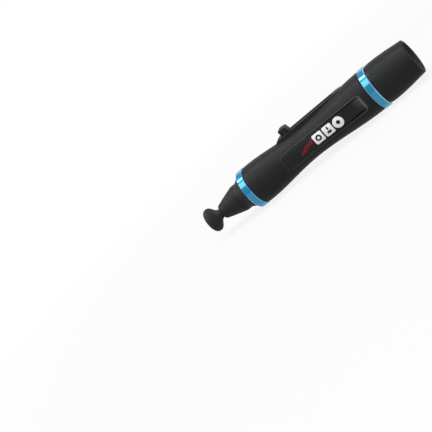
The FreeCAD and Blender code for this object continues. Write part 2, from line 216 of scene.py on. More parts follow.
STATIONS = np.linspace(24.2, 79.0, 400)
RADII = np.array([barrel_radius(s) for s in STATIONS])


def surface_radius(station):
    return float(np.interp(station, STATIONS, RADII))


# ---- materials ----

class Finish:
    """One material, with short calls for the nodes that its surface is made of."""

    def __init__(self, name, roughness=0.5, metallic=0.0, specular=0.5, coat=0.0,
                 coat_roughness=0.1, sheen=0.0):
        self.material = bpy.data.materials.new(name)
        self.material.use_nodes = True
        self.tree = self.material.node_tree
        self.shader = self.tree.nodes["Principled BSDF"]
        self.set("Roughness", roughness)
        self.set("Metallic", metallic)
        self.set("Specular IOR Level", specular)
        self.set("Coat Weight", coat)
        self.set("Coat Roughness", coat_roughness)
        self.set("Sheen Weight", sheen)
        self.place = self.tree.nodes.new("ShaderNodeTexCoord").outputs["Object"]

    def set(self, socket, value):
        self.shader.inputs[socket].default_value = value

    def link(self, output, socket):
        self.tree.links.new(output, self.shader.inputs[socket])

    def feed(self, socket, value):
        """Link a node's output, or set a constant, on any node's socket."""
        if isinstance(value, bpy.types.NodeSocket):
            self.tree.links.new(value, socket)
        else:
            socket.default_value = value

    def stretched(self, scale, turn=(0, 0, 0)):
        node = self.tree.nodes.new("ShaderNodeMapping")
        self.feed(node.inputs["Vector"], self.place)
        node.inputs["Scale"].default_value = scale
        node.inputs["Rotation"].default_value = turn
        return node.outputs["Vector"]

    def noise(self, scale, detail=2.0, rough=0.5, vector=None):
        node = self.tree.nodes.new("ShaderNodeTexNoise")
        self.feed(node.inputs["Vector"], vector or self.place)
        node.inputs["Scale"].default_value = scale
        node.inputs["Detail"].default_value = detail
        node.inputs["Roughness"].default_value = rough
        return node.outputs["Fac"]

    def spread(self, value, low, high, to_low, to_high):
        """A value between low and high, as one between to_low and to_high."""
        node = self.tree.nodes.new("ShaderNodeMapRange")
        node.clamp = True
        self.feed(node.inputs["Value"], value)
        for socket, number in (("From Min", low), ("From Max", high),
                               ("To Min", to_low), ("To Max", to_high)):
            node.inputs[socket].default_value = number
        return node.outputs["Result"]

    def math(self, kind, a, b=0.0):
        node = self.tree.nodes.new("ShaderNodeMath")
        node.operation = kind
        self.feed(node.inputs[0], a)
        self.feed(node.inputs[1], b)
        return node.outputs[0]

    def blend_colors(self, factor, a, b):
        node = self.tree.nodes.new("ShaderNodeMix")
        node.data_type = "RGBA"
        self.feed(node.inputs[0], factor)
        self.feed(node.inputs[6], a if isinstance(a, bpy.types.NodeSocket) else (*a, 1))
        self.feed(node.inputs[7], b if isinstance(b, bpy.types.NodeSocket) else (*b, 1))
        return node.outputs[2]

    def axis(self, letter):
        node = self.tree.nodes.new("ShaderNodeSeparateXYZ")
        self.feed(node.inputs[0], self.place)
        return node.outputs[letter]

    def off_axis(self):
        """Distance from the pen's axis."""
        middle = self.tree.nodes.new("ShaderNodeVectorMath")
        middle.operation = "SUBTRACT"
        self.feed(middle.inputs[0], self.place)
        middle.inputs[1].default_value = (0, 0, AXIS_Z)
        flat = self.tree.nodes.new("ShaderNodeVectorMath")
        flat.operation = "MULTIPLY"
        self.feed(flat.inputs[0], middle.outputs["Vector"])
        flat.inputs[1].default_value = (0, 1, 1)
        away = self.tree.nodes.new("ShaderNodeVectorMath")
        away.operation = "LENGTH"
        self.feed(away.inputs[0], flat.outputs["Vector"])
        return away.outputs["Value"]

    def bump(self, height, depth, strength=1.0, under=None):
        """Relief that is depth metres high, over any relief below it."""
        node = self.tree.nodes.new("ShaderNodeBump")
        node.inputs["Strength"].default_value = strength
        node.inputs["Distance"].default_value = depth
        self.feed(node.inputs["Height"], height)
        if under is not None:
            self.feed(node.inputs["Normal"], under)
        return node.outputs["Normal"]


def shade(color, times):
    return tuple(c * times for c in color)


def moulded_plastic(name, color, roughness, specular, grain=11000, relief=6e-6, dust_and_fill_light=None):
    """Moulded plastic: fine spark texture, soft mottling, faint lengthwise rubs and dust.
    Its last argument, if given, is (radius, colour): nearer the axis than that the colour is
    lighter, both settled dust and painted fill light for the shaded bore."""
    f = Finish(name, specular=specular)
    mottle = f.noise(260, 4, 0.6)
    rubs = f.spread(f.noise(1, 3, 0.7, f.stretched((240, 5200, 5200))), 0.60, 0.74, 0, 1)
    dust = f.spread(f.noise(5200, 2, 0.6), 0.70, 0.80, 0, 1)
    tint = f.blend_colors(mottle, shade(color, 0.88), shade(color, 1.12))
    tint = f.blend_colors(f.math("MULTIPLY", rubs, 0.25), tint, shade(color, 1.9))
    tint = f.blend_colors(f.math("MULTIPLY", dust, 0.30), tint, shade(color, 3))
    # Inside the bore: settled dust, and painted fill light that lifts the bore out of its shade.
    if dust_and_fill_light:
        inside = f.spread(f.off_axis(), dust_and_fill_light[0] - 0.05 * MM, dust_and_fill_light[0] + 0.05 * MM, 1, 0)
        dust_and_fill_mask = f.math("MULTIPLY", inside, f.spread(mottle, 0.3, 0.7, 0.75, 1))
        tint = f.blend_colors(dust_and_fill_mask, tint, dust_and_fill_light[1])
    f.link(tint, "Base Color")
    even = f.spread(f.noise(700, 3, 0.6), 0.3, 0.7, roughness - 0.04, roughness + 0.04)
    f.link(f.math("SUBTRACT", even, f.math("MULTIPLY", rubs, 0.05)), "Roughness")
    texture = f.bump(f.noise(grain, 3, 0.6), relief, 0.6)
    waves = f.bump(f.noise(330, 1, 0.4), 1.2e-5, 0.5, texture)
    f.link(waves, "Normal")
    return f.material


def anodised(name, color, cut_edge_and_highlight_color, edges):
    """Dyed and lacquered metal: fine turning lines, colour drift and bright cut edges, their pale
    colour partly a painted highlight.
    """
    f = Finish(name, metallic=RING_METALLIC, specular=0.2, coat=1.0, coat_roughness=0.05)
    f.set("Coat IOR", RING_COAT_IOR)
    drift = f.noise(420, 3, 0.5)
    tint = f.blend_colors(drift, shade(color, 0.93), color)
    x = f.axis("X")
    cut = None
    for low, high in edges:
        near_low = f.spread(x, low, low + RING_CUT, 1, 0)
        near_high = f.spread(x, high - RING_CUT, high, 0, 1)
        inside = f.math("MULTIPLY", f.math("GREATER_THAN", x, low - 1e-4),
                        f.math("LESS_THAN", x, high + 1e-4))
        both = f.math("MULTIPLY", f.math("MAXIMUM", near_low, near_high), inside)
        cut = both if cut is None else f.math("MAXIMUM", cut, both)
    # Pale cut edges at each ring's outer corners: the cut itself, and a painted highlight along the
    # edges.
    worn = f.spread(f.noise(2600, 3, 0.6), 0.35, 0.65, 0.75, 1)
    rim = f.spread(f.off_axis(), RING_R - RING_CUT, RING_R - RING_CUT * 0.6, 0, 1)
    edge = f.math("MULTIPLY", f.math("GREATER_THAN", cut, 0.12), f.math("MULTIPLY", worn, rim))
    f.link(f.blend_colors(edge, tint, cut_edge_and_highlight_color), "Base Color")
    lines = f.noise(1, 4, 0.7, f.stretched((42000, 260, 260)))
    f.link(f.spread(lines, 0.3, 0.7, 0.13, 0.22), "Roughness")
    f.link(f.bump(lines, 1.2e-6, 0.5), "Normal")
    return f.material


# ---- the materials of the pen ----
RING_METALLIC = 0.55
RING_COAT_IOR = 1.65
RING_CUT = 0.32 * MM         # width of the bright cut edge, partly painted highlight, at each side of a ring
FRONT_RING = (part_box("front_ring")[0].x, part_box("front_ring")[1].x)
REAR_RING = (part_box("rear_ring")[0].x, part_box("rear_ring")[1].x)
RING_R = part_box("rear_ring")[1].z - AXIS_Z
# Painted highlight on the plate's film where it turns up into the pocket's scoop, lighter towards
# the top.
PAINTED_HIGHLIGHT_FOLD = (75.15, 75.75)   # stations between which the plate's film turns fully pale with painted highlight
PAINTED_HIGHLIGHT_RAMP = (72.4, 74.6)     # stations between which a weaker painted highlight comes in before that
PAINTED_HIGHLIGHT_RAMP_MOST = 0.42        # and how strong it gets
PAINTED_HIGHLIGHT_BELOW = 2.4 * MM        # the weaker painted highlight grows from this far below the axis
PAINTED_HIGHLIGHT_ABOVE = 1.6 * MM        # to this far above it
PAINTED_HIGHLIGHT_LOW_SHARE = 0.12        # what is left of it at the bottom


def rubber(name, color, roughness):
    """Soft matte rubber with a fine skin and a little dust."""
    f = Finish(name, specular=0.18, sheen=0.02)
    f.set("Sheen Roughness", 0.5)
    dust = f.spread(f.noise(3600, 2, 0.6), 0.66, 0.78, 0, 1)
    tint = f.blend_colors(f.noise(500, 3, 0.6), shade(color, 0.85), shade(color, 1.15))
    f.link(f.blend_colors(f.math("MULTIPLY", dust, 0.35), tint, shade(color, 4)), "Base Color")
    f.link(f.spread(f.noise(900, 3, 0.6), 0.3, 0.7, roughness - 0.06, roughness + 0.06),
           "Roughness")
    f.link(f.bump(f.noise(9000, 4, 0.7), 6e-6, 0.6), "Normal")
    return f.material


def pad_cloth(name, color):
    """Close-cropped microfibre: short fibres that lie every way, and a soft sheen."""
    f = Finish(name, specular=0.1, sheen=0.25, roughness=0.95)
    f.set("Sheen Roughness", 0.4)
    one_way = f.noise(1, 3, 0.7, f.stretched((7000, 2200, 15000), (0.5, 0, 0)))
    other_way = f.noise(1, 3, 0.7, f.stretched((7000, 15000, 2200), (-0.4, 0, 0)))
    fibres = f.math("MAXIMUM", one_way, other_way)
    tint = f.blend_colors(f.spread(fibres, 0.4, 0.75, 0, 1), shade(color, 0.5), shade(color, 1.7))
    f.link(tint, "Base Color")
    f.link(f.bump(fibres, 6e-5, 0.8, f.bump(f.noise(900, 3), 4e-5, 0.4)), "Normal")
    return f.material


def hair(name, color, tip):
    """Fine dark hair: each strand a little lighter or darker than the next."""
    f = Finish(name, specular=0.35)
    strand = f.noise(1, 2, 0.8, f.stretched((60, 9000, 9000)))
    along = f.spread(f.noise(1, 2, 0.5, f.stretched((900, 4000, 4000))), 0.3, 0.7, 0, 1)
    tint = f.blend_colors(f.spread(strand, 0.3, 0.7, 0, 1), color, tip)
    f.link(f.blend_colors(f.math("MULTIPLY", along, 0.25), tint, color), "Base Color")
    f.link(f.spread(strand, 0.3, 0.7, 0.42, 0.58), "Roughness")
    return f.material


def bare_metal(name, color, roughness, lines):
    """Drawn or turned metal with fine lines and a little dulling."""
    f = Finish(name, metallic=1.0)
    streaks = f.noise(1, 4, 0.7, f.stretched(lines))
    dull = f.noise(600, 3, 0.6)
    f.link(f.blend_colors(dull, shade(color, 0.82), color), "Base Color")
    f.link(f.spread(streaks, 0.3, 0.7, roughness - 0.06, roughness + 0.08), "Roughness")
    f.link(f.bump(streaks, 2e-6, 0.5), "Normal")
    return f.material


def film(name, color, roughness, specular):
    """Thin printed film or ink: slight orange peel and specks where the print is thin."""
    f = Finish(name, specular=specular)
    specks = f.spread(f.noise(7000, 2, 0.6), 0.68, 0.78, 0, 1)
    tint = f.blend_colors(f.noise(800, 3, 0.6), shade(color, 0.94), color)
    f.link(f.blend_colors(f.math("MULTIPLY", specks, 0.2), tint, shade(color, 0.6)), "Base Color")
    f.link(f.spread(f.noise(1500, 3, 0.6), 0.3, 0.7, roughness - 0.05, roughness + 0.05),
           "Roughness")
    f.link(f.bump(f.noise(2500, 2, 0.5), 3e-6, 0.5), "Normal")
    return f.material


def plate_film(name, color, painted_highlight_color, roughness, specular):
    """The plate's film: as film(), but with a painted highlight in its colour where it bends up at
    the pocket's end, stronger towards the top.
    """
    f = Finish(name, specular=specular)
    specks = f.spread(f.noise(7000, 2, 0.6), 0.68, 0.78, 0, 1)
    tint = f.blend_colors(f.noise(800, 3, 0.6), shade(color, 0.9), shade(color, 1.06))
    tint = f.blend_colors(f.math("MULTIPLY", specks, 0.2), tint, shade(color, 2))
    # Painted highlight: the colour is lightened where the film turns up, more so towards the top.
    fold = f.spread(f.axis("X"), frame_x(PAINTED_HIGHLIGHT_FOLD[0]), frame_x(PAINTED_HIGHLIGHT_FOLD[1]), 0, 1)
    ramp = f.spread(f.axis("X"), frame_x(PAINTED_HIGHLIGHT_RAMP[0]), frame_x(PAINTED_HIGHLIGHT_RAMP[1]), 0, PAINTED_HIGHLIGHT_RAMP_MOST)
    high = f.spread(f.axis("Z"), AXIS_Z - PAINTED_HIGHLIGHT_BELOW, AXIS_Z + PAINTED_HIGHLIGHT_ABOVE, PAINTED_HIGHLIGHT_LOW_SHARE, 1)
    painted_highlight_mask = f.math("MAXIMUM", fold, f.math("MULTIPLY", ramp, high))
    patchy = f.spread(f.noise(1400, 3, 0.6), 0.35, 0.65, 0.7, 1)
    f.link(f.blend_colors(f.math("MULTIPLY", painted_highlight_mask, patchy), tint, painted_highlight_color), "Base Color")
    f.link(f.spread(f.noise(1500, 3, 0.6), 0.3, 0.7, roughness - 0.05, roughness + 0.05),
           "Roughness")
    f.link(f.bump(f.noise(2500, 2, 0.5), 3e-6, 0.5), "Normal")
    return f.material


BODY = moulded_plastic("body_plastic", (0.0198, 0.0202, 0.0203), 0.42, 0.070)
HOOD_INSIDE_R = 5.97 * MM
# The hood's bore is lighter inside: settled dust, and painted fill light for its shade.
HOOD = moulded_plastic("hood_plastic", (0.0198, 0.0202, 0.0203), 0.42, 0.070,
                       dust_and_fill_light=(HOOD_INSIDE_R, (0.075, 0.077, 0.055)))
KNOB = moulded_plastic("knob_plastic", (0.0175, 0.0175, 0.0177), 0.32, 0.22, grain=9000)
RIM = moulded_plastic("rim_plastic", (0.030, 0.030, 0.030), 0.25, 0.5, relief=1e-6)
INNER = moulded_plastic("inner_plastic", (0.016, 0.016, 0.017), 0.5, 0.3)
# The third colour is the colour of the painted highlight on the plate's turned-up end.
LABEL = plate_film("label_face", (0.0145, 0.0147, 0.0147), (0.105, 0.105, 0.102), 0.40, 0.16)
WHITE_INK = film("white_ink", (0.86, 0.86, 0.85), 0.6, 0.2)
RED_INK = film("red_ink", (0.34, 0.008, 0.022), 0.6, 0.2)
BLUE = anodised("blue_anodised", (0.003, 0.29, 0.53), (0.42, 0.74, 0.86), [FRONT_RING, REAR_RING])
RUBBER = rubber("tip_rubber", (0.0195, 0.0195, 0.0195), 0.62)
PAD = pad_cloth("pad_cloth", (0.020, 0.020, 0.020))
HAIR = hair("bristle_hair", (0.010, 0.009, 0.006), (0.045, 0.038, 0.026))
STEEL = bare_metal("spring_steel", (0.50, 0.50, 0.48), 0.28, (9000, 500, 500))
FERRULE = bare_metal("ferrule_metal", (0.075, 0.073, 0.070), 0.34, (30000, 300, 300))
RESIN = film("root_resin", (0.05, 0.035, 0.018), 0.3, 0.5)

FINISHES = {
    "barrel_shell": BODY, "nose_cone": BODY, "brush_hood": HOOD, "thumb_slider": KNOB,
    "front_label": LABEL, "back_label": LABEL, "front_ring": BLUE, "rear_ring": BLUE,
    "tip_socket": RUBBER, "tip_neck": RUBBER, "tip_head": RUBBER, "pad_foam": PAD,
    "tip_pad": PAD, "bulkhead_plug": INNER, "slide_sleeve": INNER, "guide_bush": INNER,
    "brush_carrier": INNER, "slider_stem": INNER, "detent_leaf": STEEL,
    "brush_ferrule": FERRULE, "bristle_root": RESIN, "brush_bristles": HAIR,
}
for node, finish in FINISHES.items():
    for material_slot in NODES[node].material_slots:
        material_slot.material = finish


# ---- glossy rims round the label pockets ----
# The pocket's edges on the barrel, as its mould leaves them: a small raised round.
POCKET_START = 39.5
POCKET_END = 76.62           # where the pocket's scooped end reaches the barrel's surface
POCKET_HALF = 3.15
POCKET_CORNER = 1.6
RIM_RADIUS = 0.14
RIM_SUNK_LOW = 0.92          # share of the rim's radius that is sunk, along its lower side
RIM_SUNK_HIGH = 0.45         # and along its upper side


def rounded_loop(start, end, half, corner, step=0.35):
    """Points round a rectangle with rounded corners, as (station, height) pairs."""
    centres = [(end - corner, half - corner, 0), (start + corner, half - corner, 90),
               (start + corner, corner - half, 180), (end - corner, corner - half, 270)]
    loop = []
    for s, z, first in centres:
        for angle in np.radians(np.linspace(first, first + 90, 9)):
            loop.append((s + corner * math.cos(angle), z + corner * math.sin(angle)))
    loop = np.array(loop + loop[:1])
    length = np.concatenate([[0], np.cumsum(np.linalg.norm(np.diff(loop, axis=0), axis=1))])
    wanted = np.linspace(0, length[-1], int(length[-1] / step), endpoint=False)
    return np.stack([np.interp(wanted, length, loop[:, k]) for k in range(2)], axis=1)


def on_barrel(s, z, side, sink=0.0):
    """The barrel's surface at a station and a height beside the axis, and its outward way."""
    radius = surface_radius(s) - sink
    y = side * math.sqrt(radius ** 2 - z ** 2)
    place = np.array((frame_x(s), y * MM, AXIS_Z + z * MM))
    return place, np.array((0, y, z)) / radius


def pocket_rim(name, side):
    loop = rounded_loop(POCKET_START, POCKET_END, POCKET_HALF, POCKET_CORNER)
    sinks = RIM_RADIUS * np.interp(loop[:, 1], [-2.5, 2.5], [RIM_SUNK_LOW, RIM_SUNK_HIGH])
    places, ways = zip(*(on_barrel(s, z, side, sink) for (s, z), sink in zip(loop, sinks)))
    places = np.array(places)
    along = np.roll(places, -1, axis=0) - np.roll(places, 1, axis=0)
    along /= np.linalg.norm(along, axis=1)[:, None]
    vertices = []
    sides = 8
    for place, way, ahead in zip(places, np.array(ways), along):
        across = np.cross(ahead, way)
        for k in range(sides):
            angle = 2 * math.pi * k / sides
            vertices.append(place + RIM_RADIUS * MM * (math.cos(angle) * way
                                                       + math.sin(angle) * across))
    faces = outward(grid_faces(len(places), sides, closed_rows=True), vertices)
    finish_piece(name, mesh_from(name, vertices, faces), "barrel", RIM)


pocket_rim("pocket_rim_front", -1)
pocket_rim("pocket_rim_back", 1)


# ---- the soft round where the rail's sides meet the barrel ----
RAIL_HALF = 2.5
RAIL_NOSE = 40.2
RAIL_NOSE_R = 2.2
RAIL_REAR = 72.3
FILLET = 0.42
FILLET_LEAST = 0.02
FILLET_OF_WALL = 0.55        # where the rail is low, the fillet takes this share of its side
FILLET_STEPS = 6
FILLET_SKIN = 0.004          # how far the fillet's two edges are sunk in the plastic
FILLET_ROOT = 0.1            # how far its hidden points lie under the barrel's surface
FILLET_BACK = -0.08          # and inside the rail's side
WALL_PROBE = 0.3             # the rail's height is felt this far inside its outline


def rail_outline():
    """The rail's outline seen from above: (station, y) with the way out of it."""
    run = np.arange(RAIL_REAR, RAIL_NOSE + RAIL_NOSE_R, -0.5)
    points = [(s, -RAIL_HALF, 0, -1) for s in run]
    inner = RAIL_HALF - RAIL_NOSE_R
    for centre, first in ((-inner, 270), (inner, 180)):
        for angle in np.radians(np.linspace(first, first - 90, 12)):
            points.append((RAIL_NOSE + RAIL_NOSE_R + RAIL_NOSE_R * math.cos(angle),
                           centre + RAIL_NOSE_R * math.sin(angle),
                           math.cos(angle), math.sin(angle)))
    points += [(s, RAIL_HALF, 0, 1) for s in run[::-1]]
    return points


def fillet_section(s, y, out_s, out_y):
    """The fillet's hollow face at one place, then three points hidden in the plastic."""
    def barrel_at(distance):
        station, across = s + out_s * distance, y + out_y * distance
        return math.sqrt(surface_radius(station) ** 2 - across ** 2)

    wall = rail_height(s - out_s * WALL_PROBE, y - out_y * WALL_PROBE) - barrel_at(0)
    size = max(FILLET_LEAST, min(FILLET, FILLET_OF_WALL * wall))
    section = []
    for turn in np.linspace(0, math.pi / 2, FILLET_STEPS):
        out = size * (1 - math.cos(turn))
        section.append((out - FILLET_SKIN,
                        barrel_at(out) + size * (1 - math.sin(turn)) - FILLET_SKIN))
    section.append((size, barrel_at(size) - FILLET_ROOT))
    section.append((FILLET_BACK, barrel_at(0) - FILLET_ROOT))
    section.append((FILLET_BACK, barrel_at(0) + size * 0.9))
    return [(frame_x(s + out_s * d), (y + out_y * d) * MM, AXIS_Z + z * MM) for d, z in section]


def rail_fillet():
    rows = [fillet_section(*place) for place in rail_outline()]
    count = len(rows[0])
    vertices = np.array(rows).reshape(-1, 3)
    faces = grid_faces(len(rows), count)
    hidden = [i for i, face in enumerate(faces) if face[0] % count >= FILLET_STEPS - 1]
    last = (len(rows) - 1) * count
    faces += [tuple(reversed(range(count))), tuple(range(last, last + count))]
    hidden += [len(faces) - 2, len(faces) - 1]
    mesh = mesh_from("rail_fillet", vertices, outward(faces, vertices), hidden)
    finish_piece("rail_fillet", mesh, "barrel", BODY)


rail_fillet()


# ---- rubber neck and head in one skin ----
NECK_ROOT = 8.3
HEAD_SEGMENTS = 144
HEAD_BACK = [
    (NECK_ROOT, 1.80), (7.6, 1.80), (6.8, 1.81), (6.2, 1.83), (5.7, 1.87), (4.8, 2.08), (4.2, 2.42),
    (3.5, 3.12), (2.9, 3.82), (2.4, 4.42), (1.95, 4.82), (1.55, 4.98), (1.05, 5.02),
    (0.6, 4.95), (0.28, 4.78), (0.10, 4.58), (0.04, 4.42),
]
HEAD_LIP = [(0.06, 4.30), (0.22, 4.235), (1.25, 4.23)]


def neck_and_head():
    profile = np.vstack([smooth_curve(HEAD_BACK, 70), HEAD_LIP])
    vertices, faces = turned(profile, HEAD_SEGMENTS)
    rims = [len(faces) - 2, len(faces) - 1]
    mesh = mesh_from("neck_and_head", vertices, outward(faces, vertices), rims)
    piece = make_piece("neck_and_head", mesh, RUBBER)
    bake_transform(piece)
    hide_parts("tip_neck", "tip_head")


neck_and_head()


# ---- dished cleaning pad ----
PAD_R = 4.215
PAD_BACK = 1.22
PAD_RIM_R = 3.95
PAD_DISH = 0.5
PAD_SEGMENTS = 160
NAP = 0.026
PAD_BARE_ROWS = 8            # rows at the pad's back, where no nap stands
PAD_CALM_R = 0.9             # within this radius the nap gets shorter, towards the middle


def cleaning_pad():
    """A crowned edge, a hollow face and a short nap that stands up unevenly."""
    edge = [(PAD_BACK, PAD_R), (0.8, PAD_R), (0.45, PAD_R - 0.005), (0.22, PAD_R - 0.05),
            (0.10, PAD_R - 0.14), (0.06, PAD_RIM_R)]
    ball = (PAD_RIM_R ** 2 + PAD_DISH ** 2) / (2 * PAD_DISH)
    face = []
    for r in np.linspace(PAD_RIM_R, 0.03, 46)[1:]:
        face.append((0.06 + PAD_DISH - ball + math.sqrt(ball ** 2 - r ** 2), r))
    profile = np.vstack([smooth_curve(edge, 22), face])
    vertices, faces = turned(profile, PAD_SEGMENTS)
    draw = np.random.default_rng(7)
    rough = draw.normal(0, 1, (len(profile), PAD_SEGMENTS))
    rough = (rough + np.roll(rough, 1, axis=1) + np.roll(rough, 1, axis=0)) / 1.7
    lift = NAP * np.clip(rough, -1.5, 1.5) * MM
    lift[:PAD_BARE_ROWS] = 0
    lift *= np.clip(profile[:, 1:] / PAD_CALM_R, 0, 1)
    middle = np.array((0, 0, AXIS_Z))
    vertices[:, 0] += np.abs(lift.reshape(-1))
    spokes = vertices - middle
    spokes[:, 0] = 0
    vertices -= spokes * (np.abs(lift).reshape(-1, 1) * 0.3 / (PAD_R * MM))
    mesh = mesh_from("cleaning_pad", vertices, outward(faces, vertices), [len(faces) - 2])
    piece = finish_piece("cleaning_pad", mesh, "tip", PAD)
    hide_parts("tip_pad", "pad_foam")


cleaning_pad()


# ---- brush hair, strand by strand ----
HAIR_ROOT = 74.6
HAIR_MOUTH = 76.0
HAIR_TIP = 95.9
HAIR_COUNT = 1700
HAIR_STEPS = 8
HAIR_R = 0.058
HAIR_SWAY = 0.13             # how far a strand swings from side to side
HAIR_LEAN = 1.6              # how strongly its own lean shows at the tip
TUFT = [(HAIR_ROOT, 3.80), (HAIR_MOUTH, 3.86), (80.0, 3.95), (84.0, 4.02), (90.0, 4.22),
        (HAIR_TIP, 4.42)]
TUFT_STATIONS, TUFT_RADII = np.array(TUFT).T


def brush_hair():
    draw = np.random.default_rng(11)
    golden = math.pi * (3 - math.sqrt(5))
    index = np.arange(HAIR_COUNT)
    part = np.sqrt((index + 0.5) / HAIR_COUNT)
    angle = index * golden + draw.normal(0, 0.05, HAIR_COUNT)
    tip = HAIR_TIP - 1.5 * part ** 4 - draw.gamma(1.2, 0.35, HAIR_COUNT).clip(0, 2.5)
    sway = draw.uniform(0, 2 * math.pi, (2, HAIR_COUNT))
    waves = draw.uniform(0.8, 1.6, HAIR_COUNT)
    lean = draw.normal(0, 0.10, (2, HAIR_COUNT))
    thick = HAIR_R * draw.uniform(0.75, 1.2, HAIR_COUNT)
    rows = []
    for step in np.linspace(0, 1, HAIR_STEPS):
        station = HAIR_ROOT + (tip - HAIR_ROOT) * step
        out = part * np.interp(station, TUFT_STATIONS, TUFT_RADII)
        swing = [step ** 1.5 * (HAIR_SWAY * np.sin(sway[k] + waves * 4 * step)
                                - HAIR_SWAY * np.sin(sway[k]) + lean[k] * HAIR_LEAN)
                 for k in range(2)]
        y = out * np.cos(angle) + swing[0]
        z = out * np.sin(angle) + swing[1]
        room = np.interp(station, TUFT_STATIONS, TUFT_RADII)
        pull = np.minimum(1, room / np.hypot(y, z))
        rows.append(np.stack([station, y * pull, z * pull], axis=1))
    path = np.array(rows)
    widths = np.interp(np.linspace(0, 1, HAIR_STEPS), [0, 0.6, 1], [1, 0.95, 0.35])
    vertices = np.empty((HAIR_COUNT, HAIR_STEPS, 4, 3))
    for k, (across, up) in enumerate(((1, 0), (0, 1), (-1, 0), (0, -1))):
        reach = thick[:, None] * widths[None, :]
        vertices[:, :, k, 0] = frame_x(0) + path[:, :, 0].T * MM
        vertices[:, :, k, 1] = (path[:, :, 1].T + across * reach) * MM
        vertices[:, :, k, 2] = AXIS_Z + (path[:, :, 2].T + up * reach) * MM
    faces = []
    strand = HAIR_STEPS * 4
    for first in range(0, HAIR_COUNT * strand, strand):
        faces += grid_faces(HAIR_STEPS, 4, first=first)
        faces.append((first + 3, first + 2, first + 1, first))
        faces.append(tuple(range(first + strand - 4, first + strand)))
    mesh = mesh_from("brush_hair", vertices.reshape(-1, 3), faces)
    piece = finish_piece("brush_hair", mesh, "brush", HAIR)
    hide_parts("brush_bristles")


brush_hair()


# ---- printed plates in the pockets ----
PLATE_START = 39.57
PLATE_HALF = 3.11
PLATE_CORNER = 1.55
PLATE_EDGE = 0.07            # rounding of the plate's edges
PLATE_THICK = 0.35
# (station, radius) of the plate's face; past the last flat station it turns up into the scoop
PLATE_FACE = [
    (39.0, 6.84), (42.0, 6.57), (45.0, 6.34), (48.0, 6.22), (52.0, 6.21), (56.0, 6.34),
    (60.0, 6.54), (64.0, 6.75), (68.0, 6.93), (71.0, 7.02), (73.2, 7.08), (74.5, 7.24),
    (75.4, 7.52), (76.0, 7.80), (76.5, 8.06),
]
PLATE_END = 76.45
PLATE_FLAT_END = 73.0        # finer slices from here on, where the plate turns up
PLATE_CURVE = smooth_curve(PLATE_FACE, 400)


def plate_radius(station):
    return float(np.interp(station, PLATE_CURVE[:, 0], PLATE_CURVE[:, 1]))


def plate_half(station):
    """Half the plate's height at a station, narrower where its corners are rounded."""
    into = min(station - PLATE_START, PLATE_END - station, PLATE_CORNER)
    return PLATE_HALF - PLATE_CORNER + math.sqrt(PLATE_CORNER ** 2 - (PLATE_CORNER - into) ** 2)


def plate_section(station, side):
    """One closed slice of the plate across its length: the face, then the hidden back."""
    half = plate_half(station)
    to_end = min(station - PLATE_START, PLATE_END - station)
    end_round = PLATE_EDGE * max(0, 1 - to_end / PLATE_EDGE)
    inner = half - PLATE_EDGE
    bevel = 0.3 * PLATE_EDGE
    outline = [(-half, PLATE_THICK), (-half, PLATE_EDGE), (-half + bevel, bevel)]
    outline += [(z, 0.0) for z in np.linspace(-inner, inner, 33)]
    outline += [(half - bevel, bevel), (half, PLATE_EDGE), (half, PLATE_THICK)]
    outline += [(z, PLATE_THICK) for z in np.linspace(half, -half, 9)[1:-1]]
    points = []
    for z, sunk in outline:
        radius = plate_radius(station) - max(sunk, end_round)
        points.append((frame_x(station), side * math.sqrt(radius ** 2 - z ** 2) * MM,
                       AXIS_Z + z * MM))
    return points


def label_plate(name, node, side):
    bend = PLATE_CORNER * (1 - np.cos(np.linspace(0, math.pi / 2, 12)))
    stations = np.concatenate([PLATE_START + bend,
                               np.linspace(PLATE_START + PLATE_CORNER, PLATE_FLAT_END, 50)[1:],
                               np.linspace(PLATE_FLAT_END, PLATE_END - PLATE_CORNER, 8)[1:],
                               (PLATE_END - bend)[::-1][1:]])
    rows = [plate_section(s, side) for s in stations]
    count = len(rows[0])
    vertices = np.array(rows).reshape(-1, 3)
    faces = grid_faces(len(rows), count)
    last = (len(rows) - 1) * count
    faces += [tuple(reversed(range(count))), tuple(range(last, last + count))]
    ends = [len(faces) - 2, len(faces) - 1]
    mesh = mesh_from(name, vertices, outward(faces, vertices), ends)
    plate = finish_piece(name, mesh, "barrel", LABEL)
    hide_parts(node)


label_plate("label_plate_front", "front_label", -1)
label_plate("label_plate_back", "back_label", 1)


# ---- generic print on the front plate: three care pictograms and a row of slanted strokes ----
INK_LIFT = 0.022
INK_THICK = 0.05
INK_GRID = 0.4               # the print is cut this fine across the plate, twice that along it
INK_HEIGHTS = (-2.2, 2.2)    # the print lies between these heights beside the axis
INK_STATIONS = (46.0, 68.0)  # and these stations


def circle(s, z, radius, points=40, turn=0.0):
    angles = np.arange(points) * 2 * math.pi / points + turn
    return [(s + radius * math.cos(a), z + radius * math.sin(a)) for a in angles]


def rounded_tile(s, z, half_s, half_z, corner):
    loop = []
    for sign_s, sign_z, first in ((1, 1, 0), (-1, 1, 90), (-1, -1, 180), (1, -1, 270)):
        for angle in np.radians(np.linspace(first, first + 90, 8)):
            loop.append((s + sign_s * (half_s - corner) + corner * math.cos(angle),
                         z + sign_z * (half_z - corner) + corner * math.sin(angle)))
    return loop


def stroke(s, z, length, width, lean):
    """A slanted bar with round ends, leaning towards the hood."""
    along = np.array((math.sin(lean), math.cos(lean)))
    points = []
    for end, first in ((1, 0), (-1, 180)):
        middle = np.array((s, z)) + along * end * (length - width) / 2
        for angle in np.radians(np.linspace(first, first + 180, 9)) - lean:
            points.append(tuple(middle + width / 2 * np.array((math.cos(angle), math.sin(angle)))))
    return points


